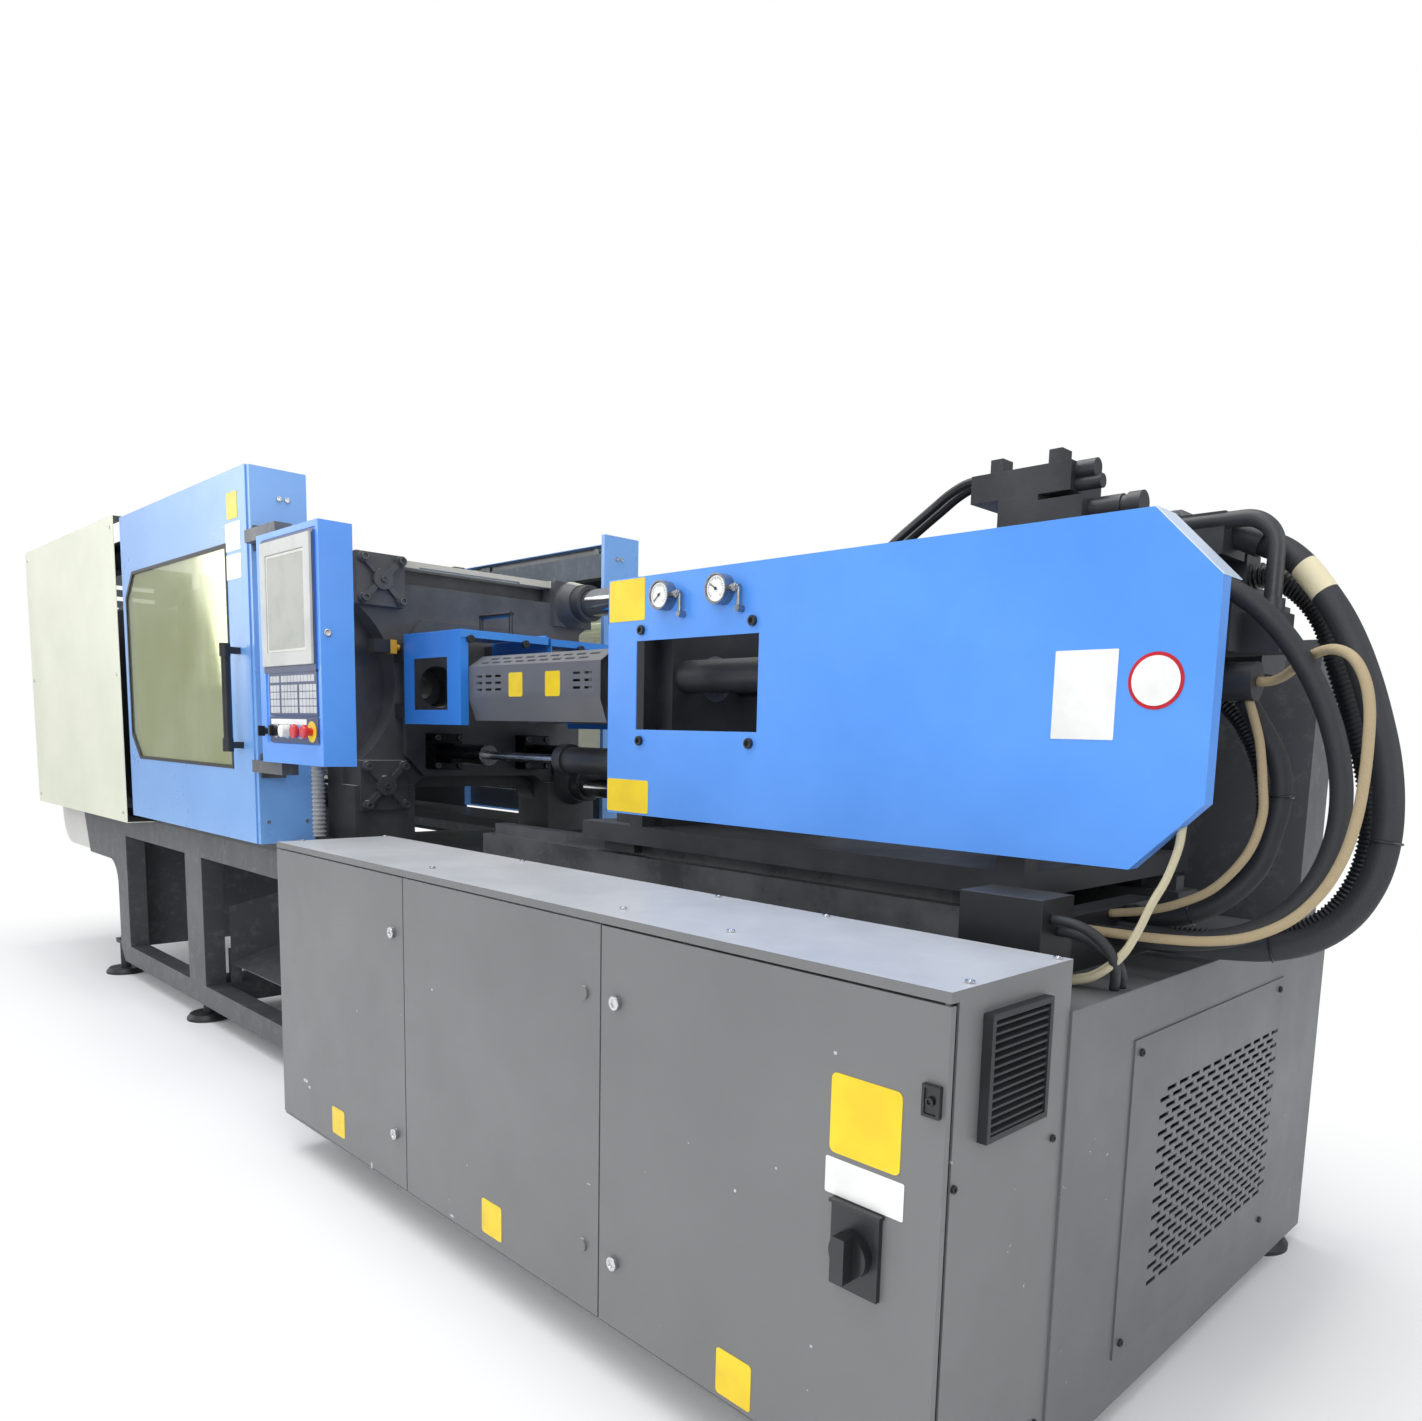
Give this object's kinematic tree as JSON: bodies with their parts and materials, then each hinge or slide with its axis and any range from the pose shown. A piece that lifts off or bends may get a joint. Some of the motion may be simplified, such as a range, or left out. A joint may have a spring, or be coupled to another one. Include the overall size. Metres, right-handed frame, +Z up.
{
  "type": "injection moulding machine",
  "caption": "Horizontal toggle injection moulding machine with side-by-side barrels, sliding safety doors, swivelling operator panel and electrical cabinet.",
  "frame": {"origin": "middle of the machine's outline on the floor, between the pads", "axes": "+X from the clamp end to the injection end, +Y away from the operator, +Z up"},
  "size_m": [6.202, 1.911, 2.075],
  "materials": {
    "frame_paint": "satin textured grey",
    "cabinet_paint": "satin textured grey",
    "blue_paint": "semi-gloss",
    "cream_paint": "semi-gloss",
    "casting_paint": "painted casting",
    "link_iron": "oiled",
    "hard_chrome": "ground and hard chromed",
    "bright_steel": "machined",
    "hose_rubber": "woven cover",
    "ribbed_plastic": "corrugated",
    "braided_cover": "braided",
    "black_plastic": "matt",
    "red_plastic": "gloss",
    "window_sheet": "clear polycarbonate with a warm tint",
    "control_parts": "moulded",
    "gauge_case": "pressed steel case",
    "valve_iron": "painted",
    "shield_sheet": "satin"
  },
  "bodies": {
    "machine": {"clamp_bed": "frame_paint", "bed_end_skirt": "cream_paint", "levelling_feet": "black_plastic", "injection_bed": "cabinet_paint", "cabinet_shell": "cabinet_paint", "grille_panel": "cabinet_paint", "vent_filter": "black_plastic", "rear_cabinet": "cabinet_paint", "clamp_covers": "cream_paint", "door_rails": "frame_paint", "door_posts": "blue_paint", "fixed_platen": "casting_paint", "corner_plates": "casting_paint", "tail_platen": "casting_paint", "tie_bars": "hard_chrome", "tie_bar_nuts": "casting_paint", "clamp_cylinder": "casting_paint", "parts_chute": "frame_paint", "limit_switch": "black_plastic", "nozzle_guard": "blue_paint", "guide_rails": "bright_steel", "pull_in_rods": "hard_chrome", "operator_arm": "frame_paint", "control_gear": "control_parts", "pump_motor": "casting_paint", "operator_conduit": "ribbed_plastic", "main_hoses": "hose_rubber", "ribbed_hose": "ribbed_plastic", "signal_hoses": "braided_cover"},
    "moving_platen": {"moving_platen": "casting_paint"},
    "ejector": {"ejector": "bright_steel"},
    "crosshead": {"crosshead": "hard_chrome"},
    "upper_rear_links": {"upper_rear_links": "link_iron"},
    "lower_rear_links": {"lower_rear_links": "link_iron"},
    "upper_front_links": {"upper_front_links": "link_iron"},
    "lower_front_links": {"lower_front_links": "link_iron"},
    "upper_short_links": {"upper_short_links": "link_iron"},
    "lower_short_links": {"lower_short_links": "link_iron"},
    "front_door": {"front_door": "blue_paint", "front_window": "window_sheet", "front_handle": "black_plastic"},
    "rear_door": {"rear_door": "blue_paint", "rear_window": "window_sheet"},
    "operator_panel": {"operator_panel": "blue_paint"},
    "emergency_stop": {"emergency_stop": "red_plastic"},
    "selector_knob": {"selector_knob": "black_plastic"},
    "guard_lid": {"guard_lid": "blue_paint"},
    "carriage": {"carriage": "casting_paint", "barrels": "bright_steel", "heat_shields": "shield_sheet", "injection_covers": "blue_paint", "pressure_gauges": "gauge_case", "valve_block": "valve_iron"},
    "screw_drive": {"screw_drive": "casting_paint"},
    "near_screw": {"near_screw": "bright_steel"},
    "far_screw": {"far_screw": "bright_steel"},
    "cabinet_door_1": {"cabinet_door_1": "cabinet_paint"},
    "cabinet_door_2": {"cabinet_door_2": "cabinet_paint"},
    "cabinet_door_3": {"cabinet_door_3": "cabinet_paint"},
    "main_switch": {"main_switch": "black_plastic"}
  },
  "joints": [
    {"name": "clamp_stroke", "type": "slide", "parent": "machine", "child": "moving_platen", "axis": [1, 0, 0], "range_m": [0, 0.54]},
    {"name": "ejector_stroke", "type": "slide", "parent": "moving_platen", "child": "ejector", "axis": [1, 0, 0], "range_m": [0, 0.12]},
    {"name": "crosshead_stroke", "type": "slide", "parent": "machine", "child": "crosshead", "axis": [1, 0, 0], "range_m": [0, 0.421]},
    {"name": "upper_rear_link_turn", "type": "hinge", "parent": "machine", "child": "upper_rear_links", "pos_m": [-2.148, 0.1075, 1.744], "axis": [0, -1, 0], "range_deg": [0, 129.2]},
    {"name": "lower_rear_link_turn", "type": "hinge", "parent": "machine", "child": "lower_rear_links", "pos_m": [-2.148, 0.1075, 1.012], "axis": [0, 1, 0], "range_deg": [0, 129.2]},
    {"name": "upper_front_link_turn", "type": "hinge", "parent": "moving_platen", "child": "upper_front_links", "pos_m": [-1.828, 0.1075, 1.744], "axis": [0, 1, 0], "range_deg": [0, 24.72]},
    {"name": "lower_front_link_turn", "type": "hinge", "parent": "moving_platen", "child": "lower_front_links", "pos_m": [-1.828, 0.1075, 1.012], "axis": [0, -1, 0], "range_deg": [0, 24.72]},
    {"name": "upper_short_link_turn", "type": "hinge", "parent": "crosshead", "child": "upper_short_links", "pos_m": [-2.246, 0.1075, 1.524], "axis": [0, -1, 0], "range_deg": [0, 26.7]},
    {"name": "lower_short_link_turn", "type": "hinge", "parent": "crosshead", "child": "lower_short_links", "pos_m": [-2.246, 0.1075, 1.232], "axis": [0, 1, 0], "range_deg": [0, 26.7]},
    {"name": "front_door_slide", "type": "slide", "parent": "machine", "child": "front_door", "axis": [-1, 0, 0], "range_m": [0, 1.2]},
    {"name": "rear_door_slide", "type": "slide", "parent": "machine", "child": "rear_door", "axis": [-1, 0, 0], "range_m": [0, 1.2]},
    {"name": "panel_swivel", "type": "hinge", "parent": "machine", "child": "operator_panel", "pos_m": [0.254, -0.6925, 1.456], "axis": [0, 0, 1], "range_deg": [-60, 30]},
    {"name": "emergency_stop_push", "type": "slide", "parent": "operator_panel", "child": "emergency_stop", "axis": [0, 1, 0], "range_m": [0, 0.005]},
    {"name": "selector_turn", "type": "hinge", "parent": "operator_panel", "child": "selector_knob", "pos_m": [0.315, -0.7525, 1.208], "axis": [0, 1, 0], "range_deg": [-45, 45]},
    {"name": "guard_lid_lift", "type": "hinge", "parent": "machine", "child": "guard_lid", "pos_m": [0.354, 0.1015, 1.553], "axis": [-1, 0, 0], "range_deg": [0, 100]},
    {"name": "carriage_travel", "type": "slide", "parent": "machine", "child": "carriage", "axis": [-1, 0, 0], "range_m": [0, 0.38]},
    {"name": "shot_stroke", "type": "slide", "parent": "carriage", "child": "screw_drive", "axis": [1, 0, 0], "range_m": [0, 0.15]},
    {"name": "near_screw_spin", "type": "hinge", "parent": "screw_drive", "child": "near_screw", "pos_m": [2.172, -0.0825, 1.378], "axis": [1, 0, 0], "continuous": true},
    {"name": "far_screw_spin", "type": "hinge", "parent": "screw_drive", "child": "far_screw", "pos_m": [2.172, 0.2975, 1.378], "axis": [1, 0, 0], "continuous": true},
    {"name": "cabinet_door_1_swing", "type": "hinge", "parent": "machine", "child": "cabinet_door_1", "pos_m": [0.657, -0.8765, 0.495], "axis": [0, 0, -1], "range_deg": [0, 110]},
    {"name": "cabinet_door_2_swing", "type": "hinge", "parent": "machine", "child": "cabinet_door_2", "pos_m": [1.392, -0.8765, 0.495], "axis": [0, 0, -1], "range_deg": [0, 110]},
    {"name": "cabinet_door_3_swing", "type": "hinge", "parent": "machine", "child": "cabinet_door_3", "pos_m": [2.876, -0.8765, 0.495], "axis": [0, 0, 1], "range_deg": [0, 110]},
    {"name": "main_switch_turn", "type": "hinge", "parent": "cabinet_door_3", "child": "main_switch", "pos_m": [2.747, -0.9025, 0.487], "axis": [0, 1, 0], "range_deg": [0, 90]}
  ],
  "couplings": [
    {"joint": "crosshead_stroke", "follows": "clamp_stroke", "ratio": 0.77778},
    {"joint": "upper_rear_link_turn", "follows": "clamp_stroke", "rad_per_m": 4.1694},
    {"joint": "lower_rear_link_turn", "follows": "clamp_stroke", "rad_per_m": 4.1694},
    {"joint": "upper_front_link_turn", "follows": "clamp_stroke", "rad_per_m": 0.79569},
    {"joint": "lower_front_link_turn", "follows": "clamp_stroke", "rad_per_m": 0.79569},
    {"joint": "upper_short_link_turn", "follows": "clamp_stroke", "rad_per_m": 0.85958},
    {"joint": "lower_short_link_turn", "follows": "clamp_stroke", "rad_per_m": 0.85958}
  ]
}
